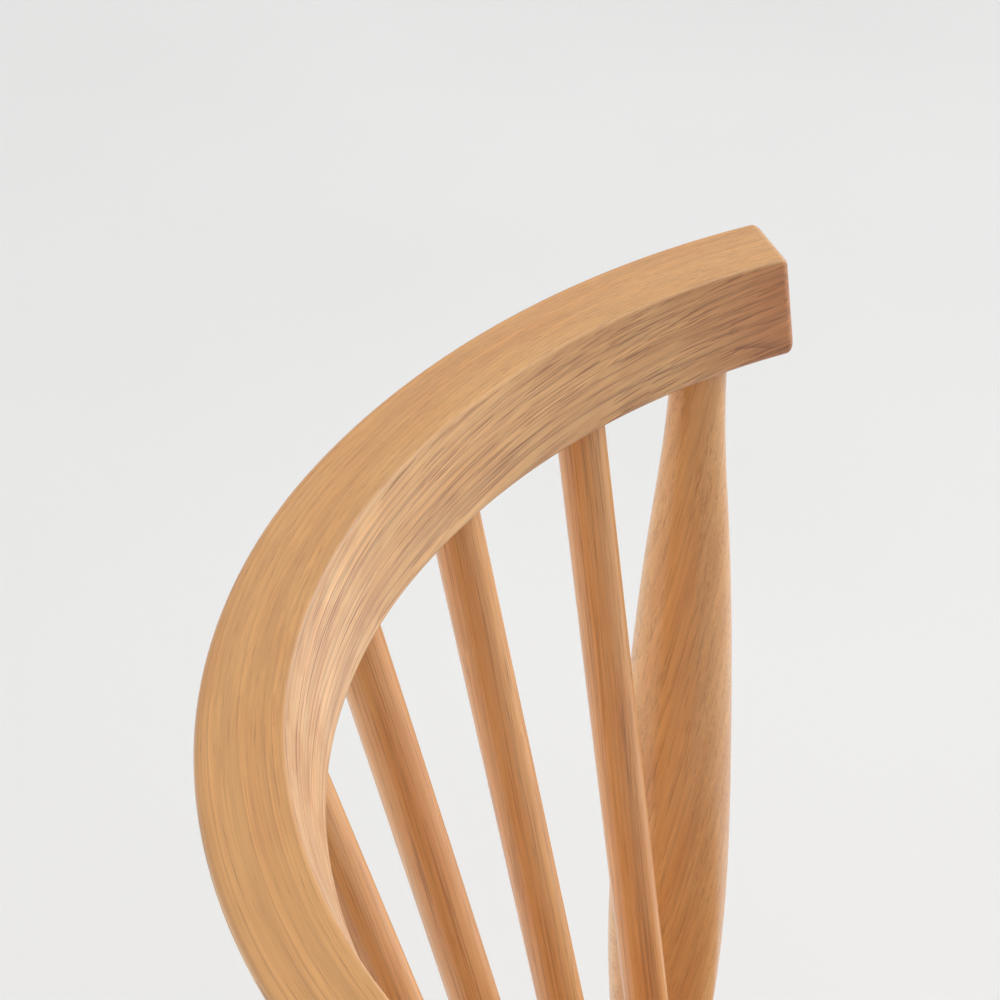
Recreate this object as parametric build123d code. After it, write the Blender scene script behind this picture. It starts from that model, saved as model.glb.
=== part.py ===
"""Low-backed oak armchair: a bent bow on nine spindles and two stout posts, a round seat and four legs.

Millimetres. +Z is up from the floor and the chair faces -Y, so +X is the sitter's left.
The origin is on the floor, midway between the seat's front edge and the back of the bow.
"""
from build123d import *
import math
import os

# Overall places
half_depth = 249.9
seat_height = 430.0
bow_clear_height = 389.5

# Bow: three tangent arcs to each side of the middle, measured along the middle of its top face
bow_width = 30.6
bow_thinning = 3.0
bow_height = 37.5
bow_lean_angle = 16.5
bow_round = 2.2
back_radius = 220.0
back_turn_angle = 21.0
shoulder_radius = 248.0
shoulder_turn_angle = 21.5
arm_radius = 326.0
arm_turn_angle = 39.25

# Spindles: evenly spaced along the bow at the head, and round a circle inside the seat's rim at the foot
spindle_pairs = 4
spindle_diameter = 19.0
spindle_spacing = 74.0
spindle_foot_margin = 75.5
spindle_foot_step_angle = 15.33
spindle_tenon = 12.0
spindle_bow_depth = 20.0
spindle_seat_depth = 22.0

# Posts under the arms: slim at the head, swelling downwards and drawn in a little at the seat
post_station = 358.0
post_foot_margin = 30.3
post_foot_angle = 71.8
post_head_diameter = 22.0
post_neck_drop = 80.0
post_neck_diameter = 33.4
post_shoulder_drop = 160.0
post_shoulder_diameter = 44.6
post_belly_drop = 310.0
post_belly_diameter = 49.4
post_foot_diameter = 40.0
post_bow_tenon = 14.0
post_bow_depth = 22.0
post_seat_tenon = 26.0

# Seat: round, of boards glued edge to edge, with a shallow round dish
seat_thickness = 36.0
seat_radius = 225.0
seat_top_round = 6.0
seat_under_bevel = 12.0
seat_joint_shares = (0.253, 0.698)
dish_side_rim = 75.0
dish_front_rim = 29.5
dish_depth = 9.0
dish_lip = 50.0

# Legs: heads inside the seat's rim, feet outside it, at angles from straight back
front_leg_margin = 51.1
front_leg_angle = 131.6
front_foot_reach = 49.0
front_foot_angle = 136.1
rear_leg_margin = 110.2
rear_leg_angle = 55.8
rear_foot_reach = 42.5
rear_foot_angle = 39.5
leg_head_diameter = 38.0
leg_belly_drop = 90.0
leg_belly_diameter = 42.0
leg_foot_diameter = 25.0
leg_tenon = 26.0

# Stretchers: one from front to rear leg on each side, and one across between those
stretcher_drop = 222.0
stretcher_end_diameter = 15.0
stretcher_belly_diameter = 23.0
stretcher_tenon_length = 20.0

# Wedges that spread the through tenons of the legs and posts
wedge_depth = 22.0
wedge_thick = 3.4
wedge_thin = 0.8

# Glides under the feet, each held by one nail
glide_diameter = 20.0
glide_height = 5.0
glide_round = 1.2
nail_diameter = 2.4
nail_length = 18.0
nail_head_diameter = 7.0
nail_head_height = 1.4
nail_head_recess = 1.6

# Fits: room for glue round a tenon and at the end of its socket, and a driven fit
glue_gap = 0.1
socket_end_gap = 0.6
driven_gap = 0.04

# Spare length that is trimmed off against a face
spare = 25.0

# Levels and places worked out from the sizes above
bow_underside = seat_height + bow_clear_height
bow_top = bow_underside + bow_height
bow_slope = math.tan(math.radians(bow_lean_angle))
bow_inset = bow_height * bow_slope
bow_round_loss = bow_round * (bow_slope + 1 / math.cos(math.radians(bow_lean_angle)) - 1)
bow_back_y = half_depth + bow_round_loss - (bow_width - bow_thinning) / 2
seat_underside = seat_height - seat_thickness
seat_centre_y = -half_depth + seat_radius
stretcher_height = seat_underside - stretcher_drop
dish_radius = seat_radius - dish_side_rim
dish_centre_y = seat_centre_y - dish_side_rim + dish_front_rim
sides = (("left", 1), ("right", -1))


def toward(bearing):
    """Unit vector in plan at a bearing in degrees, from straight back round to the sitter's left."""
    return Vector(math.sin(math.radians(bearing)), math.cos(math.radians(bearing)))


def on_seat(side_sign, bearing, margin, height):
    """Point at a bearing round the seat, a margin inside its rim, on the side of that sign."""
    point = toward(bearing) * (seat_radius - margin)
    return side_sign * point.X, seat_centre_y + point.Y, height


def bow_arcs():
    """The arcs of the bow's left half, each as its centre, radius, first and last bearing."""
    arcs = []
    bearing = 0.0
    end = Vector(0, bow_back_y)
    turns = (
        (back_radius, back_turn_angle),
        (shoulder_radius, shoulder_turn_angle),
        (arm_radius, arm_turn_angle),
    )
    for radius, turn in turns:
        centre = end - toward(bearing) * radius
        arcs.append((centre, radius, bearing, bearing + turn))
        bearing += turn
        end = centre + toward(bearing) * radius
    return arcs


def bow_point(along, offset):
    """Plan point at a distance along the bow from its middle, moved outwards by an offset."""
    run = abs(along)
    for centre, radius, first, last in bow_arcs():
        bearing = first + math.degrees(run / radius)
        if bearing <= last:
            break
        run -= radius * math.radians(last - first)
    point = centre + toward(bearing) * (radius + offset)
    return math.copysign(point.X, along), point.Y


def bow_edge(offset, shift):
    """Arcs of one face of the bow in plan, from the right arm's end round to the left arm's end."""
    right, left = [], []
    for centre, radius, first, last in bow_arcs():
        bearings = (first, (first + last) / 2, last)
        points = [centre + toward(b) * (radius + offset) + Vector(0, shift) for b in bearings]
        left.append(ThreePointArc(*points))
        right.insert(0, ThreePointArc(*[(-point.X, point.Y) for point in reversed(points)]))
    return right + left


def bow_outline(height, inset):
    """Plan face of the bow at a height, with both of its faces drawn in by an inset."""
    outer = bow_edge(bow_width / 2 - inset, -bow_thinning / 2)
    inner = bow_edge(-bow_width / 2 - inset, bow_thinning / 2)
    right_end = Line(outer[0] @ 0, inner[0] @ 0)
    left_end = Line(outer[-1] @ 1, inner[-1] @ 1)
    return Pos(0, 0, height) * make_face(outer + inner + [right_end, left_end])


def on_line(line, height):
    """Point at a height on a line given by its foot and head points."""
    foot, head = Vector(*line[0]), Vector(*line[1])
    return foot + (head - foot) * ((height - foot.Z) / (head.Z - foot.Z))


def axis_plane(foot, head):
    """Plane at the foot of a turned piece, with its Z axis towards the head."""
    return Plane(origin=foot, z_dir=Vector(*head) - Vector(*foot))


def rod(foot, head, diameter, below=0.0, above=0.0):
    """Round rod on the line from foot to head, run on below the foot and above the head."""
    length = (Vector(*head) - Vector(*foot)).length + below + above
    cylinder = Cylinder(diameter / 2, length, align=(Align.CENTER, Align.CENTER, Align.MIN))
    return axis_plane(foot, head).location * (Pos(0, 0, -below) * cylinder)


def turning(foot, head, stations, run_on):
    """Turned piece on the line from foot to head through (distance from foot, diameter) stations.

    Its ends run on straight past the first and last station, to be trimmed.
    """
    points = [(diameter / 2, along) for along, diameter in stations]
    (foot_radius, low), (head_radius, high) = points[0], points[-1]
    curve = Spline(*points, tangents=((0, 1), (0, 1)))
    ends = Polyline(
        (head_radius, high),
        (head_radius, high + run_on),
        (0, high + run_on),
        (0, low - run_on),
        (foot_radius, low - run_on),
        (foot_radius, low),
    )
    profile = Plane.XZ * make_face(curve.edges() + ends.edges())
    return axis_plane(foot, head).location * revolve(profile, Axis.Z)


def between(solid, low, high):
    """The part of a solid between two heights."""
    slab = Box(4 * half_depth, 4 * half_depth, high - low, align=(Align.CENTER, Align.CENTER, Align.MIN))
    return solid & (Pos(0, 0, low) * slab)


def wedge_blade(root, end, length, gap=0.0):
    """Wedge lying across a tenon, driven in at its end along the line from its root, grown by a gap."""
    slope = (wedge_thick - wedge_thin) / 2 / wedge_depth
    tip = wedge_thin / 2 + gap
    butt = tip + slope * (wedge_depth + spare)
    corners = ((-tip, -wedge_depth), (tip, -wedge_depth), (butt, spare), (-butt, spare))
    section = Plane.YZ * make_face(Polyline(*corners, close=True))
    blade = extrude(section, length / 2 + gap, both=True)
    place = Plane(origin=end, x_dir=(1, 0, 0), z_dir=Vector(*end) - Vector(*root))
    return place.location * blade


def stretcher_between(first, last):
    """Stretcher from one axis point to another, swelling in the middle, and the drill for its sockets."""
    length = (last - first).length
    stations = (
        (stretcher_tenon_length, stretcher_end_diameter),
        (length / 2, stretcher_belly_diameter),
        (length - stretcher_tenon_length, stretcher_end_diameter),
    )
    drill = rod(first, last, stretcher_end_diameter + 2 * glue_gap, socket_end_gap, socket_end_gap)
    return turning(first, last, stations, stretcher_tenon_length), drill


# Lines of the turned pieces, each as a foot point and a head point
spindle_lines = []
for place in range(-spindle_pairs, spindle_pairs + 1):
    foot = on_seat(1, place * spindle_foot_step_angle, spindle_foot_margin, seat_height)
    head = bow_point(place * spindle_spacing, -bow_inset)
    spindle_lines.append((foot, (*head, bow_underside)))

post_lines = {}
for side, sign in sides:
    head = bow_point(sign * post_station, -bow_inset)
    foot = on_seat(sign, post_foot_angle, post_foot_margin, seat_height)
    post_lines[side] = (foot, (*head, bow_underside))

leg_lines = {}
for side, sign in sides:
    leg_lines["front", side] = (
        on_seat(sign, front_foot_angle, -front_foot_reach, glide_height),
        on_seat(sign, front_leg_angle, front_leg_margin, seat_underside),
    )
    leg_lines["rear", side] = (
        on_seat(sign, rear_foot_angle, -rear_foot_reach, glide_height),
        on_seat(sign, rear_leg_angle, rear_leg_margin, seat_underside),
    )

nodes = {}

# Bow: one bent piece whose sides lean outwards towards the top
bow = loft([bow_outline(bow_underside, bow_inset), bow_outline(bow_top, 0)], ruled=True)
arm_ends = bow.faces().sort_by(Axis.Y)[: len(sides)]
bow = fillet(bow.edges().filter_by(GeomType.CIRCLE) + arm_ends.edges(), bow_round)

# Seat blank: a round slab, eased above and bevelled below
slab = Cylinder(seat_radius, seat_thickness, align=(Align.CENTER, Align.CENTER, Align.MIN))
seat = Pos(0, seat_centre_y, seat_underside) * slab
seat = chamfer(seat.faces().sort_by(Axis.Z)[0].edges(), seat_under_bevel)
seat = fillet(seat.faces().sort_by(Axis.Z)[-1].edges(), seat_top_round)

# Dish: a bowl with a soft lip, two arcs that meet smoothly, turned about an upright axis
bowl_end = (dish_radius - dish_lip, -dish_depth * dish_lip / dish_radius)
dish_profile = [
    TangentArc((0, -dish_depth), bowl_end, tangent=(1, 0)),
    TangentArc((dish_radius, 0), bowl_end, tangent=(-1, 0)),
    Polyline((dish_radius, 0), (dish_radius, spare), (0, spare), (0, -dish_depth)),
]
dish_face = Plane.XZ * make_face([edge for part in dish_profile for edge in part.edges()])
dish = Pos(0, dish_centre_y, seat_height) * revolve(dish_face, Axis.Z)
seat -= dish

# Spindles: straight rods that stand on the seat, with a tenon at each end
for place, (foot, head) in enumerate(spindle_lines, start=1):
    body = between(rod(foot, head, spindle_diameter, spare, spare), seat_height, bow_underside)
    tenons = rod(foot, head, spindle_tenon, spindle_seat_depth, spindle_bow_depth)
    drill = rod(
        foot,
        head,
        spindle_tenon + 2 * glue_gap,
        spindle_seat_depth + socket_end_gap,
        spindle_bow_depth + socket_end_gap,
    )
    nodes[f"spindle_{place}"] = body + tenons
    bow -= drill
    seat -= drill

# Posts: a blind tenon into the arm, and a wedged tenon right through the seat
post_wedges = []
for side, line in post_lines.items():
    foot, head = line
    length = (Vector(*head) - Vector(*foot)).length
    stations = (
        (0, post_foot_diameter),
        (length - post_belly_drop, post_belly_diameter),
        (length - post_shoulder_drop, post_shoulder_diameter),
        (length - post_neck_drop, post_neck_diameter),
        (length, post_head_diameter),
    )
    body = between(turning(foot, head, stations, spare), seat_height, bow_underside)
    inside = on_line(line, seat_height + spare)
    neck = on_line(line, bow_underside - spare)
    lower_end = on_line(line, seat_underside)
    seat_tenon = rod(foot, inside, post_seat_tenon, 2 * seat_thickness)
    seat_tenon = between(seat_tenon, seat_underside, seat_height + spare)
    kerf = wedge_blade(inside, lower_end, post_seat_tenon, driven_gap)
    blade = wedge_blade(inside, lower_end, post_seat_tenon)
    nodes[f"post_{side}"] = body + rod(neck, head, post_bow_tenon, above=post_bow_depth) + seat_tenon - kerf
    post_wedges.append(blade & seat_tenon)
    bow -= rod(neck, head, post_bow_tenon + 2 * glue_gap, above=post_bow_depth + socket_end_gap)
    seat -= rod(foot, inside, post_seat_tenon + 2 * glue_gap, 2 * seat_thickness)

# Legs: turned, raked outwards, their tenons wedged from above and cut flush with the seat
leg_wedges = []
for (end, side), line in leg_lines.items():
    foot, head = line
    length = (Vector(*head) - Vector(*foot)).length
    stations = (
        (0, leg_foot_diameter),
        (length - leg_belly_drop, leg_belly_diameter),
        (length, leg_head_diameter),
    )
    body = between(turning(foot, head, stations, spare), glide_height, seat_underside)
    inside = on_line(line, seat_underside - spare)
    upper_end = on_line(line, seat_height)
    tenon = between(rod(inside, head, leg_tenon, above=2 * seat_thickness), inside.Z, seat_height) - dish
    kerf = wedge_blade(head, upper_end, leg_tenon, driven_gap)
    blade = wedge_blade(head, upper_end, leg_tenon)
    nodes[f"leg_{end}_{side}"] = body + tenon - kerf
    leg_wedges.append(blade & tenon)
    seat -= rod(inside, head, leg_tenon + 2 * glue_gap, above=2 * seat_thickness)

# Stretchers: one let into the front and rear legs on each side, and one across, let into those
middles = []
for side, sign in sides:
    front = on_line(leg_lines["front", side], stretcher_height)
    rear = on_line(leg_lines["rear", side], stretcher_height)
    nodes[f"stretcher_{side}"], drill = stretcher_between(front, rear)
    middles.append((front + rear) / 2)
    for end in ("front", "rear"):
        nodes[f"leg_{end}_{side}"] -= drill
nodes["stretcher_cross"], drill = stretcher_between(*middles)
for side, sign in sides:
    nodes[f"stretcher_{side}"] -= drill

# Glides: a disc under each foot, with a nail through it whose head is sunk
glides = []
nails = []
upright = (Align.CENTER, Align.CENTER, Align.MIN)
for (end, side), (foot, head) in leg_lines.items():
    place = Pos(foot[0], foot[1], 0)
    disc = Cylinder(glide_diameter / 2, glide_height, align=upright)
    disc = fillet(disc.edges().sort_by(Axis.Z)[0], glide_round)
    shank = Pos(0, 0, nail_head_recess) * Cylinder(nail_diameter / 2, nail_length, align=upright)
    cap = Pos(0, 0, nail_head_recess - nail_head_height) * Cylinder(
        nail_head_diameter / 2, nail_head_height, align=upright
    )
    shank_hole = Cylinder(nail_diameter / 2 + driven_gap, nail_head_recess + nail_length, align=upright)
    cap_hole = Cylinder(nail_head_diameter / 2 + driven_gap, nail_head_recess, align=upright)
    glides.append(place * (disc - shank_hole - cap_hole))
    nails.append(place * (shank + cap))
    nodes[f"leg_{end}_{side}"] -= place * shank_hole

# Seat boards: the seat parted at its glue joints, numbered from the sitter's right to the left
cuts = sorted(sign * share * seat_radius for share in seat_joint_shares for side, sign in sides)
edges = [-2 * seat_radius] + cuts + [2 * seat_radius]
for number, (low, high) in enumerate(zip(edges, edges[1:]), start=1):
    strip = Box(high - low, 4 * half_depth, 4 * seat_height)
    nodes[f"seat_board_{number}"] = seat & (Pos((low + high) / 2, 0, 0) * strip)

nodes["bow"] = bow
nodes["leg_wedges"] = Compound(children=[piece.solid() for piece in leg_wedges])
nodes["post_wedges"] = Compound(children=[piece.solid() for piece in post_wedges])
nodes["foot_glides"] = Compound(children=[piece.solid() for piece in glides])
nodes["glide_nails"] = Compound(children=[piece.solid() for piece in nails])

os.makedirs("parts", exist_ok=True)
for name, shape in nodes.items():
    export_step(shape, f"parts/{name}.step")
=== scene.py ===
import math

import bpy
import numpy as np
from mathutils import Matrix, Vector


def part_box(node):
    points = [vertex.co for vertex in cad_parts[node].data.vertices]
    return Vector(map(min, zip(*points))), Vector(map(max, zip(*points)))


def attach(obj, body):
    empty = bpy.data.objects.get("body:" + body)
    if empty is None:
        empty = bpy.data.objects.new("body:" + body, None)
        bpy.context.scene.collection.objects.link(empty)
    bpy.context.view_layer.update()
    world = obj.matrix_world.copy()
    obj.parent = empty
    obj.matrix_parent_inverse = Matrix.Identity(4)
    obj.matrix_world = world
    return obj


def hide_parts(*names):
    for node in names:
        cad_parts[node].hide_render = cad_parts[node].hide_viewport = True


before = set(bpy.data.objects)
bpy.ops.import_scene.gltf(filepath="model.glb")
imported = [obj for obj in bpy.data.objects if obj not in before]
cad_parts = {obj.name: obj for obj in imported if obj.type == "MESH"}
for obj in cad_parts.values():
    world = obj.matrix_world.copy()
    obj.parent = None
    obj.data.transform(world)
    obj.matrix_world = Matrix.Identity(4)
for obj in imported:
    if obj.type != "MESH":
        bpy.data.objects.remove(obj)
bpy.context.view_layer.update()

# Seat: five oak boards glued edge to edge into a round slab, then dished and lacquered. The figure of each
# runs from front to back, and every board is cut from another part of the tree, so their tones differ.


def node(tree, kind, inputs=(), **settings):
    """Adds a shader node with its settings, and sets or links its inputs."""
    made = tree.nodes.new("ShaderNode" + kind)
    for key, value in settings.items():
        setattr(made, key, value)
    for key, value in dict(inputs).items():
        if isinstance(value, bpy.types.NodeSocket):
            tree.links.new(value, made.inputs[key])
        else:
            made.inputs[key].default_value = value
    return made


def reckon(tree, operation, *values):
    """One sum on numbers or sockets."""
    return node(tree, "Math", enumerate(values), operation=operation).outputs[0]


def ease(tree, value, low, high, at_low=0.0, at_high=1.0):
    """Smooth step of a socket between two limits."""
    made = node(
        tree,
        "MapRange",
        {"Value": value, "From Min": low, "From Max": high, "To Min": at_low, "To Max": at_high},
        interpolation_type="SMOOTHSTEP",
    )
    return made.outputs[0]


def stretched_noise(tree, place, along, across, detail=2.0, rough=0.5):
    """Noise with so many grains to the metre along the fibre and across it."""
    vector = node(tree, "VectorMath", {0: place, 1: (along, across, across)}, operation="MULTIPLY").outputs[0]
    made = node(tree, "TexNoise", {"Vector": vector, "Scale": 1.0, "Detail": detail, "Roughness": rough})
    return made.outputs["Fac"]


def blend(tree, share, first, second, way="MIX"):
    """Mix of two colours by a share."""
    made = node(tree, "Mix", data_type="RGBA", blend_type=way)
    for index, value in ((0, share), (6, first), (7, second)):
        if isinstance(value, bpy.types.NodeSocket):
            tree.links.new(value, made.inputs[index])
        else:
            made.inputs[index].default_value = value
    return made.outputs[2]


def oak(name, place_of, pale, deep, ring=0.0028, pith=(0.11, 0.07), slope=(0.0, 0.0), marks=1.0, cut="even"):
    """Lacquered oak. place_of gives each point's distance along the fibre and its two distances across it."""
    material = bpy.data.materials.new(name)
    material.use_nodes = True
    tree = material.node_tree
    shader = tree.nodes["Principled BSDF"]
    place = place_of(tree)

    # The fibre wanders a little, and runs out of the surface by a slope
    apart = node(tree, "SeparateXYZ", {0: place}).outputs
    wander_reach = 0.010
    wander = stretched_noise(tree, place, along=3.0, across=16.0, detail=1.0)
    wander = reckon(tree, "MULTIPLY", reckon(tree, "SUBTRACT", wander, 0.5), wander_reach)
    across = reckon(tree, "MULTIPLY_ADD", apart[0], slope[0], reckon(tree, "ADD", apart[1], wander))
    height = reckon(tree, "MULTIPLY_ADD", apart[0], slope[1], reckon(tree, "ADD", apart[2], wander))
    fibre = node(tree, "CombineXYZ", {0: apart[0], 1: across, 2: height}).outputs[0]

    # Growth rings about a pith that lies outside the piece, each year a little paler or darker
    from_pith = node(
        tree,
        "VectorMath",
        {0: node(tree, "CombineXYZ", {1: across, 2: height}).outputs[0], 1: (0.0, -pith[0], -pith[1])},
        operation="DISTANCE",
    ).outputs["Value"]
    uneven = stretched_noise(tree, fibre, along=1.5, across=60.0, detail=1.0)
    uneven_years = 1.6
    year = reckon(tree, "MULTIPLY_ADD", uneven, uneven_years, reckon(tree, "DIVIDE", from_pith, ring))
    season = reckon(tree, "FRACT", year)
    spring_share = 0.45
    spring = ease(tree, season, 0.0, spring_share, at_low=1.0, at_high=0.0)
    age = reckon(tree, "FLOOR", year)
    tone_of_year = node(tree, "TexWhiteNoise", {"W": age}, noise_dimensions="1D").outputs["Value"]

    # Vessels: short fine dashes along the fibre, most of them in the spring wood, longer dark strokes where
    # they lie open, and thin broken rows where each year begins
    dashes = ease(tree, stretched_noise(tree, fibre, along=60.0, across=2300.0, detail=1.0), 0.56, 0.72)
    dashes = reckon(tree, "MULTIPLY", dashes, ease(tree, spring, 0.0, 0.8, at_low=0.30))
    strokes = ease(tree, stretched_noise(tree, fibre, along=12.0, across=1700.0, detail=1.0), 0.55, 0.61)
    stroked_places = ease(tree, stretched_noise(tree, fibre, along=11.0, across=420.0), 0.34, 0.62)
    strokes = reckon(tree, "MULTIPLY", strokes, stroked_places)
    row_width = 0.00045
    rows = ease(tree, season, 0.0, row_width / ring, at_low=1.0, at_high=0.0)
    rowed_places = ease(tree, stretched_noise(tree, fibre, along=16.0, across=320.0), 0.40, 0.60)
    rows = reckon(tree, "MULTIPLY", rows, rowed_places)

    # Broader figure: streaks and threads along the fibre, and clouds and patches of deeper colour
    streaks = stretched_noise(tree, fibre, along=8.0, across=420.0, detail=3.0, rough=0.6)
    threads = stretched_noise(tree, fibre, along=20.0, across=1900.0)
    clouds = stretched_noise(tree, fibre, along=3.5, across=55.0)
    patches = stretched_noise(tree, fibre, along=30.0, across=140.0)
    cloud_depth, patch_depth = 0.65, 0.35
    depth = reckon(tree, "MULTIPLY", ease(tree, clouds, 0.28, 0.72), cloud_depth)
    depth = reckon(tree, "ADD", depth, ease(tree, patches, 0.35, 0.68, at_high=patch_depth))
    colour = blend(tree, depth, pale, deep)
    streaky, dashed, stroked, rowed = 0.36, 0.42 * marks, 0.40 * marks, 0.20 * marks
    if cut == "bent":
        # The leaning sides are cut along the rings, so they are blotched and more marked than the top. Their
        # tint is pinker and paler than the top's, partly their own colour and partly painted sheen that grows
        # towards the back.
        # The heart side of the bar shows as a darker tint along the top's outer rim; at the arms' ends it is
        # painted shade.
        side = node(tree, "Attribute", attribute_name="side").outputs["Fac"]
        heart_and_shade = node(tree, "Attribute", attribute_name="heart_and_shade").outputs["Fac"]
        # Painted sheen: the side tint pales and whitens the leaning sides beyond their own pinker colour
        side_tint = (1.34, 1.70, 2.90, 1.0)
        blotch_tint = (0.90, 0.82, 0.78, 1.0)
        # Painted shade: the heart tint darkens the arms' ends; along the top's outer rim it is the heart
        # wood's colour
        heart_and_shade_tint = (0.80, 0.57, 0.46, 1.0)
        blotch_strength = 1.5
        blotches = ease(tree, stretched_noise(tree, fibre, along=45.0, across=95.0), 0.44, 0.66)
        blotches = reckon(tree, "MULTIPLY", reckon(tree, "MULTIPLY", side, blotch_strength), blotches)
        for share, tint in ((side, side_tint), (blotches, blotch_tint), (heart_and_shade, heart_and_shade_tint)):
            colour = blend(tree, share, colour, blend(tree, 1.0, colour, tint, "MULTIPLY"))
        least_side = 0.4
        streaky = ease(tree, side, 0.0, least_side, at_low=0.46, at_high=0.85)
        dashed = ease(tree, side, 0.0, least_side, at_low=0.38, at_high=0.42)
        stroked = ease(tree, side, 0.0, least_side, at_low=0.18, at_high=0.70)
        rowed = ease(tree, side, 0.0, least_side, at_low=0.14, at_high=0.50)

    # Tones, then the dark of the vessels over them
    thready, yearly, spring_dark = 0.24, 0.08 * marks, -0.06 * marks
    shade = reckon(tree, "MULTIPLY_ADD", reckon(tree, "SUBTRACT", streaks, 0.5), streaky, 1.0)
    shade = reckon(tree, "MULTIPLY_ADD", reckon(tree, "SUBTRACT", threads, 0.5), thready, shade)
    shade = reckon(tree, "MULTIPLY_ADD", reckon(tree, "SUBTRACT", tone_of_year, 0.5), yearly, shade)
    shade = reckon(tree, "MULTIPLY_ADD", spring, spring_dark, shade)
    colour = node(tree, "VectorMath", {0: colour, "Scale": shade}, operation="SCALE").outputs[0]
    row_dark = (0.25, 0.095, 0.042, 1.0)
    stroke_dark = (0.22, 0.080, 0.034, 1.0)
    dash_dark = (0.24, 0.090, 0.034, 1.0)
    colour = blend(tree, reckon(tree, "MULTIPLY", rows, rowed), colour, row_dark)
    colour = blend(tree, reckon(tree, "MULTIPLY", strokes, stroked), colour, stroke_dark)
    colour = blend(tree, reckon(tree, "MULTIPLY", dashes, dashed), colour, dash_dark)
    tree.links.new(colour, shader.inputs["Base Color"])

    # A satin lacquer that lies a little duller and lower over open pores
    pore_dullness, thread_relief = 0.15, 0.25
    open_pores = reckon(tree, "MAXIMUM", strokes, dashes)
    dullness = ease(tree, streaks, 0.3, 0.7, at_low=0.40, at_high=0.48)
    dullness = reckon(tree, "MULTIPLY_ADD", open_pores, pore_dullness, dullness)
    tree.links.new(dullness, shader.inputs["Roughness"])
    shader.inputs["Specular IOR Level"].default_value = 0.35
    shader.inputs["Coat Weight"].default_value = 0.85
    shader.inputs["Coat Roughness"].default_value = 0.26
    relief = reckon(tree, "MULTIPLY_ADD", open_pores, -1.0, reckon(tree, "MULTIPLY", threads, thread_relief))
    bump = node(tree, "Bump", {"Strength": 0.25, "Distance": 0.0002, "Height": relief})
    tree.links.new(bump.outputs[0], shader.inputs["Normal"])
    return material


def straight(foot, head, offset):
    """Fibre that runs straight from a foot to a head point, in a part of the tree given by an offset."""

    def place_of(tree):
        turn = (head - foot).to_track_quat("X", "Z").to_euler()
        spot = node(tree, "TexCoord").outputs["Object"]
        settings = {"Vector": spot, "Location": foot, "Rotation": turn}
        mapped = node(tree, "Mapping", settings, vector_type="TEXTURE")
        return node(tree, "VectorMath", {0: mapped.outputs[0], 1: offset}, operation="ADD").outputs[0]

    return place_of


def finish_of(name, material):
    """Gives a piece its material."""
    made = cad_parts[name].data
    made.materials.clear()
    made.materials.append(material)


seat_tones = (
    ((0.60, 0.345, 0.165, 1), (0.52, 0.275, 0.12, 1)),
    ((0.63, 0.365, 0.175, 1), (0.55, 0.295, 0.13, 1)),
    ((0.58, 0.325, 0.150, 1), (0.51, 0.270, 0.115, 1)),
    ((0.62, 0.360, 0.175, 1), (0.54, 0.290, 0.13, 1)),
    ((0.59, 0.340, 0.160, 1), (0.53, 0.280, 0.12, 1)),
)
for number, (pale, deep) in enumerate(seat_tones, start=1):
    name = f"seat_board_{number}"
    low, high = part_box(name)
    middle = (low + high) / 2
    front, back = Vector((middle.x, low.y, low.z)), Vector((middle.x, high.y, low.z))
    line = straight(front, back, offset=(number * 1.7, 0.0, 0.0))
    sway = 0.018 * (-1) ** number
    pith = (0.01 * number, 0.05)
    finish_of(name, oak(f"seat_oak_{number}", line, pale, deep, ring=0.0042, pith=pith, slope=(0.01, sway)))

# Legs and stretchers: turned from straight oak blanks and lacquered. The legs are raked outwards and wedged
# through the seat, and the stretchers are let into them and into each other.


def line_of(name):
    """Ends of a long piece's axis, found from its mesh."""
    points = np.array([v.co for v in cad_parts[name].data.vertices])
    middle = points.mean(axis=0)
    axis = np.linalg.svd(points - middle, full_matrices=False)[2][0]
    reach = (points - middle) @ axis
    return Vector(middle + axis * reach.min()), Vector(middle + axis * reach.max())


leg_pale = (0.62, 0.355, 0.165, 1)
leg_deep = (0.52, 0.265, 0.110, 1)
legs = ("leg_front_left", "leg_front_right", "leg_rear_left", "leg_rear_right")
stretchers = ("stretcher_left", "stretcher_right", "stretcher_cross")
for number, name in enumerate(legs + stretchers):
    line = straight(*line_of(name), offset=(number * 1.3 + 11.0, 0.01 * number, 0.0))
    leg_oak = oak(f"{name}_oak", line, leg_pale, leg_deep, ring=0.0030, pith=(0.05, 0.03), slope=(0.05, 0.02))
    finish_of(name, leg_oak)

# Wedges: slips of darker oak driven into the saw cuts of the legs' and posts' tenons. They spread the tenons
# in the seat and are cut flush with it.

wedge_pale = (0.40, 0.20, 0.09, 1)
wedge_deep = (0.32, 0.15, 0.06, 1)
for name in ("leg_wedges", "post_wedges"):
    line = straight(Vector((0, 0, 0)), Vector((0, 0, 1)), offset=(5.0, 0.0, 0.0))
    finish_of(name, oak(f"{name}_oak", line, wedge_pale, wedge_deep, ring=0.0022))

# Glides: moulded nylon discs under the feet, which save the floor and the end grain. Each is held by a steel
# nail whose head is sunk, so that it can't scratch.

nylon = bpy.data.materials.new("glide_nylon")
nylon.use_nodes = True
tree = nylon.node_tree
spot = node(tree, "TexCoord").outputs["Object"]
speckle = node(tree, "TexNoise", {"Vector": spot, "Scale": 900.0, "Detail": 2.0}).outputs["Fac"]
scuffs = node(tree, "TexNoise", {"Vector": spot, "Scale": 160.0, "Detail": 3.0}).outputs["Fac"]
scuffs = ease(tree, scuffs, 0.45, 0.7)
clean, scuffed = (0.72, 0.70, 0.64, 1), (0.55, 0.53, 0.48, 1)
tint = blend(tree, scuffs, clean, scuffed)
shader = tree.nodes["Principled BSDF"]
tree.links.new(tint, shader.inputs["Base Color"])
tree.links.new(ease(tree, speckle, 0.3, 0.7, at_low=0.45, at_high=0.6), shader.inputs["Roughness"])
finish_of("foot_glides", nylon)

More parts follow.
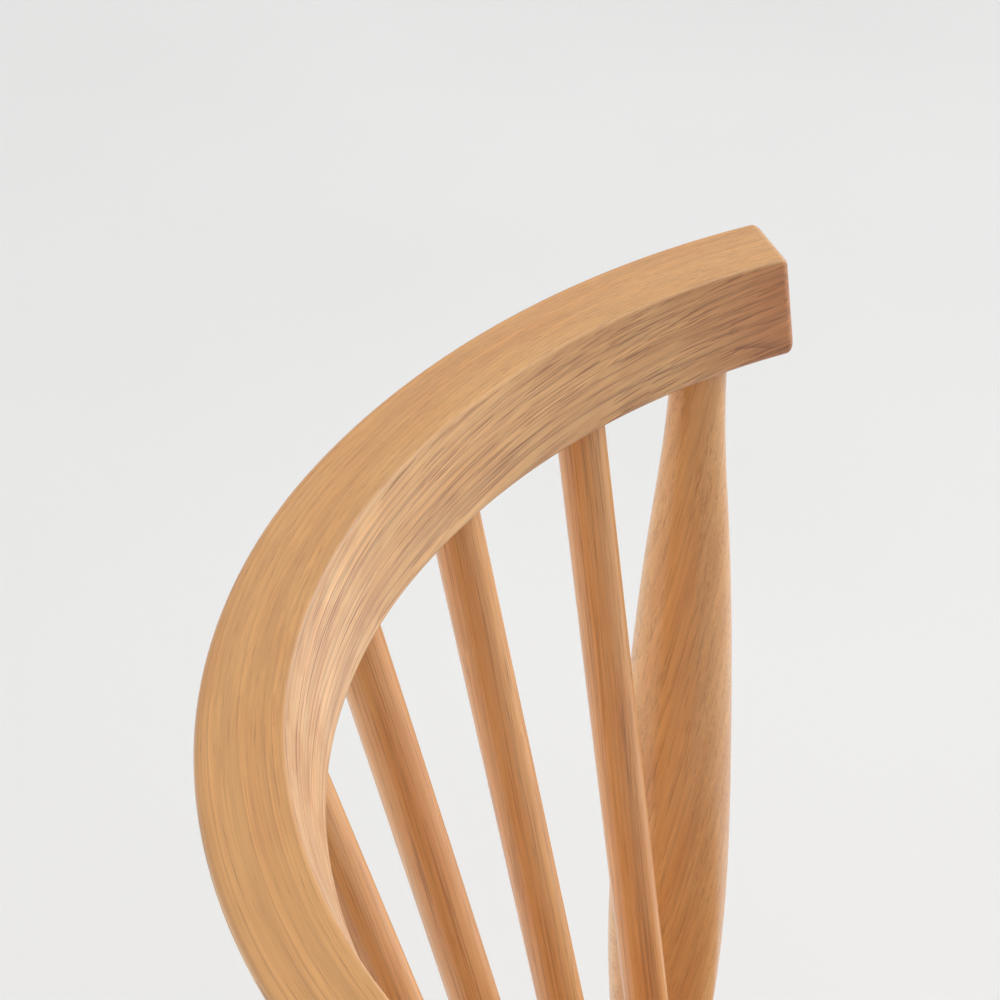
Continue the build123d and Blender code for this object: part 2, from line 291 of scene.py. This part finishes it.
steel = bpy.data.materials.new("nail_steel")
steel.use_nodes = True
tree = steel.node_tree
spot = node(tree, "TexCoord").outputs["Object"]
marks = node(tree, "TexNoise", {"Vector": spot, "Scale": 1400.0, "Detail": 3.0}).outputs["Fac"]
shader = tree.nodes["Principled BSDF"]
shader.inputs["Metallic"].default_value = 1.0
dark_steel, bright_steel = (0.42, 0.42, 0.43, 1), (0.62, 0.62, 0.63, 1)
tree.links.new(blend(tree, marks, dark_steel, bright_steel), shader.inputs["Base Color"])
tree.links.new(ease(tree, marks, 0.3, 0.7, at_low=0.25, at_high=0.45), shader.inputs["Roughness"])
finish_of("glide_nails", steel)

# Posts: stout turned uprights under the arms, tenoned into the bow and wedged through the seat. Their fibre
# runs out of the swelling, which leaves slanting dashes on it.

post_pale = (0.75, 0.405, 0.150, 1)
post_deep = (0.66, 0.305, 0.095, 1)
for number, name in enumerate(("post_left", "post_right")):
    line = straight(*line_of(name), offset=(number * 2.1 + 23.0, 0.0, 0.0))
    post_oak = oak(
        f"{name}_oak",
        line,
        post_pale,
        post_deep,
        ring=0.0042,
        pith=(0.10, 0.07),
        slope=(0.22, 0.06),
        marks=0.75,
    )
    finish_of(name, post_oak)

# Spindles: nine straight turned rods of lacquered oak, their fibre running almost from end to end. Each has a
# tenon at both ends, glued into blind holes in the seat and the bow.

spindle_pale = (0.74, 0.388, 0.142, 1)
spindle_deep = (0.65, 0.286, 0.086, 1)
for number in range(1, 10):
    name = f"spindle_{number}"
    line = straight(*line_of(name), offset=(number * 1.9 + 31.0, 0.004 * number, 0.002 * number))
    spindle_oak = oak(
        f"{name}_oak", line, spindle_pale, spindle_deep, ring=0.0024, pith=(0.07, 0.05), slope=(0.01, 0.012)
    )
    finish_of(name, spindle_oak)

# Bow: one oak bar bent round the back into two arms, and lacquered. Its sides lean outwards towards the top
# and all its edges are rounded over; it thins a little at the middle of the back.

bow_low, bow_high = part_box("bow")
bow_width = 0.0306
bow_thinning = 0.003
bow_lean = math.radians(16.5)
bow_round = 0.0022
bow_end_round = 0.004
bow_arm_radius = 0.326
bow_arm_turn = 39.25 - math.degrees(bow_end_round / bow_arm_radius)
bow_turns = ((0.220, 21.0), (0.248, 21.5), (bow_arm_radius, bow_arm_turn))
bow_step = 0.006
bow_section_points = 72
bow_height = bow_high.z - bow_low.z
bow_inset = bow_height * math.tan(bow_lean)
bow_round_loss = bow_round * (math.tan(bow_lean) + 1 / math.cos(bow_lean) - 1)
bow_back_y = bow_high.y + bow_round_loss - (bow_width - bow_thinning) / 2

bpy.ops.object.select_all(action="DESELECT")
bpy.ops.mesh.primitive_circle_add(
    vertices=bow_section_points, radius=bow_round, rotation=(math.pi / 2, 0, math.pi / 2)
)
bow = bpy.context.object
bow.name = "bow_bent"
bpy.ops.object.transform_apply(location=True, rotation=True, scale=True)

# The round bar is pulled apart to the four corners of the leaning section
side_slack = bow_round / math.cos(bow_lean) + bow_round * math.tan(bow_lean)
top_outer = bow_back_y + bow_width / 2 - side_slack
top_inner = bow_back_y - bow_width / 2 + bow_round / math.cos(bow_lean) - bow_round * math.tan(bow_lean)
rise = bow_height - 2 * bow_round
for vertex in bow.data.vertices:
    out, up = vertex.co.y / bow_round, vertex.co.z / bow_round
    above = out * math.sin(bow_lean) + up * math.cos(bow_lean) > 0
    corner_y = top_outer if out > 0 else top_inner
    corner_z = bow_high.z - bow_round
    if not above:
        corner_y -= rise * math.tan(bow_lean)
        corner_z -= rise
    vertex.co.y += corner_y
    vertex.co.z += corner_z

# The section is spun round each bend in turn, from the middle of the back to the end of one arm
bpy.ops.object.mode_set(mode="EDIT")
bpy.ops.mesh.select_all(action="SELECT")
bearing = 0.0
end = Vector((0.0, bow_back_y, 0.0))
bow_arcs = []
for radius, turn in bow_turns:
    outward = Vector((math.sin(math.radians(bearing)), math.cos(math.radians(bearing)), 0.0))
    centre = end - outward * radius
    bow_arcs.append((centre, radius, bearing, bearing + turn))
    steps = round(radius * math.radians(turn) / bow_step)
    bpy.ops.mesh.spin(steps=steps, angle=math.radians(turn), center=centre, axis=(0, 0, 1))
    bearing += turn
    outward = Vector((math.sin(math.radians(bearing)), math.cos(math.radians(bearing)), 0.0))
    end = centre + outward * radius

# The arm's end is drawn in step by step round a quarter circle, then closed
end_steps = 8
end_way = Vector((math.cos(math.radians(bearing)), -math.sin(math.radians(bearing)), 0.0))
end += Vector((0.0, 0.0, bow_high.z - bow_height / 2)) - outward * bow_inset / 2
wide, high, gone = bow_width, bow_height, 0.0
for step in range(1, end_steps + 1):
    angle = math.pi / 2 * step / end_steps
    drawn_in = 2 * bow_end_round * (1 - math.cos(angle))
    onward = bow_end_round * math.sin(angle)
    move = end_way * (onward - gone)
    end += move
    bpy.ops.mesh.extrude_edges_move(TRANSFORM_OT_translate={"value": move})
    narrow = (bow_width - drawn_in) / wide
    bpy.ops.transform.resize(value=(narrow, narrow, (bow_height - drawn_in) / high), center_override=end)
    wide, high, gone = bow_width - drawn_in, bow_height - drawn_in, onward
bpy.ops.mesh.edge_face_add()
bpy.ops.mesh.select_all(action="SELECT")
bpy.ops.mesh.remove_doubles(threshold=0.00005)
bpy.ops.object.mode_set(mode="OBJECT")


def bow_place(point):
    """Distances along the bow from its middle, outwards from its middle line, and up from its top face."""
    run = 0.0
    for centre, radius, first, last in bow_arcs:
        offset = Vector((abs(point.x), point.y, 0.0)) - centre
        bearing = math.degrees(math.atan2(offset.x, offset.y))
        if bearing <= last or last == bow_arcs[-1][3]:
            break
        run += radius * math.radians(last - first)
    along = run + radius * math.radians(bearing - first)
    return math.copysign(along, point.x), offset.length - radius, point.z - bow_high.z


# The bar is thinned towards the middle of its back, and mirrored to the other arm
for vertex in bow.data.vertices:
    along, out, up = bow_place(vertex.co)
    out -= up * math.tan(bow_lean)
    vertex.co.y -= bow_thinning * out / bow_width
mirror = bow.modifiers.new("other_arm", "MIRROR")
mirror.merge_threshold = 0.0001
bpy.ops.object.modifier_apply(modifier=mirror.name)
bpy.ops.object.mode_set(mode="EDIT")
bpy.ops.mesh.select_all(action="SELECT")
bpy.ops.mesh.remove_doubles(threshold=0.00002)
bpy.ops.mesh.normals_make_consistent(inside=False)
bpy.ops.object.mode_set(mode="OBJECT")
bpy.ops.object.shade_smooth()
flats = bow.modifiers.new("flat_faces", "WEIGHTED_NORMAL")
flats.keep_sharp = False
bpy.ops.object.modifier_apply(modifier=flats.name)

# Each point's place along and across the bent fibre, how far it belongs to a leaning side, with painted sheen
# growing towards the back, and how far it is darkened: painted shade at the arms' ends, heart wood along the
# top's rim
bow.data.attributes.new("grain", "FLOAT_VECTOR", "POINT")
bow.data.attributes.new("side", "FLOAT", "POINT")
bow.data.attributes.new("heart_and_shade", "FLOAT", "POINT")
grain = bow.data.attributes["grain"].data
side = bow.data.attributes["side"].data
heart_and_shade = bow.data.attributes["heart_and_shade"].data
bow_run_out = 0.16
side_at_arms = 0.4
heart_at_rim = 0.30
upright_normal, level_normal = 0.1875, 0.8125
# Where painted shade darkens the arms' ends, where the top's rim is heart wood, and where painted sheen grows
arm_shade_from, arm_shade_to = 0.335, 0.385
rim_from, rim_to = 0.003, 0.014
back_sheen_from, back_sheen_to = 0.16, 0.08


def ramp(value, start, stop):
    """Share of the way from a start to a stop, held between none and all."""
    return min(1.0, max(0.0, (value - start) / (stop - start)))


for index, vertex in enumerate(bow.data.vertices):
    along, out, up = bow_place(vertex.co)
    leaning = ramp(abs(vertex.normal.z), level_normal, upright_normal)
    arm_shade_share = ramp(abs(along), arm_shade_from, arm_shade_to)
    rim_share = ramp(out, rim_from, rim_to)
    back_sheen_share = ramp(abs(along), back_sheen_from, back_sheen_to)
    grain[index].vector = (along, out, up - bow_run_out * along**2)
    # Painted sheen on the leaning sides, growing towards the back; painted shade at the arms' ends, heart
    # wood on the rim
    side[index].value = leaning * (side_at_arms + (1.0 - side_at_arms) * back_sheen_share)
    heart_and_shade[index].value = leaning * arm_shade_share + heart_at_rim * (1.0 - leaning) * rim_share


def bent(tree):
    """Fibre that follows the bend of the bow."""
    return node(tree, "Attribute", attribute_name="grain").outputs["Vector"]


bow_pale = (0.635, 0.335, 0.110, 1)
bow_deep = (0.560, 0.262, 0.076, 1)
bow_oak = oak("bow_oak_bent", bent, bow_pale, bow_deep, ring=0.0017, pith=(0.09, 0.042), cut="bent")
bow.data.materials.append(bow_oak)
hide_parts("bow")
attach(bow, "root")

# Studio: a wide pale floor of matt paint, a soft lamp above, and a pale room that is brighter in front of the
# chair and behind it, and dimmer on the side that it is looked at from.

floor_width = 60.0
floor_dull = (0.81, 0.81, 0.805, 1)
floor_bright = (0.87, 0.87, 0.865, 1)
bpy.ops.object.select_all(action="DESELECT")
bpy.ops.mesh.primitive_plane_add(size=floor_width)
floor = bpy.context.object
floor.name = "studio_floor"
floor_paint = bpy.data.materials.new("pale_floor")
floor_paint.use_nodes = True
tree = floor_paint.node_tree
shader = tree.nodes["Principled BSDF"]
shader.inputs["Roughness"].default_value = 0.9
shader.inputs["Specular IOR Level"].default_value = 0.1
spot = node(tree, "TexCoord").outputs["Object"]
patches = node(tree, "TexNoise", {"Vector": spot, "Scale": 1.5, "Detail": 2.0}).outputs["Fac"]
tree.links.new(blend(tree, patches, floor_dull, floor_bright), shader.inputs["Base Color"])
floor.data.materials.append(floor_paint)

lamp_place = Vector((0.3, -0.9, 2.8))
lamp_aim = Vector((0.1, 0.0, 0.7))
light = bpy.data.lights.new("light_above", "AREA")
light.shape = "SQUARE"
light.size = 2.0
light.energy = 17.0
lamp = bpy.data.objects.new("light_above", light)
lamp.location = lamp_place
lamp.rotation_euler = (lamp_aim - lamp_place).to_track_quat("-Z", "Y").to_euler()
lamp.visible_camera = False
bpy.context.scene.collection.objects.link(lamp)

world = bpy.data.worlds.new("studio")
bpy.context.scene.world = world
world.use_nodes = True
tree = world.node_tree
room = tree.nodes["Background"]
way = node(tree, "TexCoord").outputs["Generated"]
apart = node(tree, "SeparateXYZ", {0: way}).outputs
dim_side = ease(tree, apart[0], -0.8, 0.3, at_low=0.43, at_high=0.60)
path = node(tree, "LightPath").outputs
seen = reckon(tree, "MAXIMUM", path["Is Camera Ray"], path["Is Transmission Ray"])
mirrored = reckon(tree, "MAXIMUM", seen, path["Is Glossy Ray"])


def far_light(aim, rim, core, strength, hidden):
    """Light from a soft round patch of the room in a direction, left out for rays of the hidden kind."""
    toward = node(tree, "VectorMath", {0: way, 1: aim}, operation="DOT_PRODUCT").outputs["Value"]
    glow = ease(tree, toward, rim, core, at_high=strength)
    return reckon(tree, "MULTIPLY", glow, reckon(tree, "SUBTRACT", 1.0, hidden))


# The front light shows only faintly in the lacquer, so that it doesn't turn it white
gloss_hidden = 0.85
faint = reckon(tree, "MAXIMUM", seen, reckon(tree, "MULTIPLY", path["Is Glossy Ray"], gloss_hidden))
front_light = far_light((0.299, -0.920, 0.253), rim=0.940, core=0.988, strength=8.9, hidden=faint)
back_light = far_light((0.400, 0.879, 0.260), rim=0.70, core=0.97, strength=1.55, hidden=mirrored)
background_light = 0.82
room_light = reckon(tree, "ADD", dim_side, back_light)
room_light = reckon(tree, "MAXIMUM", room_light, reckon(tree, "MULTIPLY", mirrored, background_light))
tree.links.new(reckon(tree, "ADD", room_light, front_light), room.inputs["Strength"])
room.inputs["Color"].default_value = (1.0, 1.0, 1.0, 1.0)

# The view: from behind the right side, down over the back towards the left arm
view_down = 38.076
view_turn = -15.921
view_aside, view_behind, view_above = -0.44412, 0.054686, 0.468305
lens = bpy.data.cameras.new("camera")
lens.sensor_width = 36.0
lens.lens = 82.24
camera = bpy.data.objects.new("camera", lens)
camera.location = (view_aside, bow_back_y + view_behind, bow_high.z + view_above)
camera.rotation_euler = (math.radians(90 - view_down), 0.0, math.radians(view_turn - 90))
bpy.context.scene.collection.objects.link(camera)
bpy.context.scene.camera = camera
bpy.context.scene.view_settings.view_transform = "Standard"
